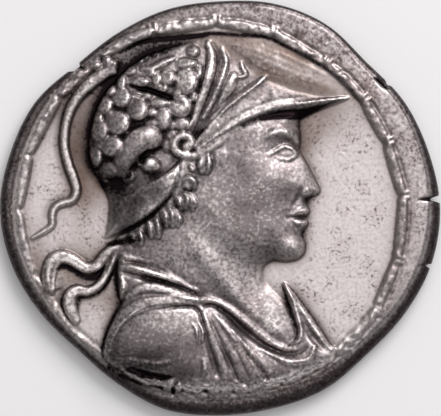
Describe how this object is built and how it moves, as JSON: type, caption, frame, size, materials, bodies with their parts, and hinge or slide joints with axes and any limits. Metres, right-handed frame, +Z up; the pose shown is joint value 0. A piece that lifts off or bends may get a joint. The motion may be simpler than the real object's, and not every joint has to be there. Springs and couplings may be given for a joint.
{
  "type": "tetradrachm coin",
  "caption": "Thick struck silver coin, not quite round, with a helmeted portrait bust in relief inside a bead-and-reel border and a plain star and ring on the underside.",
  "frame": {"origin": "middle of the coin's bounding box, on the table it lies on", "axes": "+Z up out of the portrait side, +Y to the top of the portrait, +X to the side the portrait looks toward"},
  "size_m": [0.033, 0.0312, 0.0037],
  "materials": {
    "silver": "struck silver, worn and toned"
  },
  "bodies": {
    "root": {"coin": "silver"}
  },
  "joints": []
}
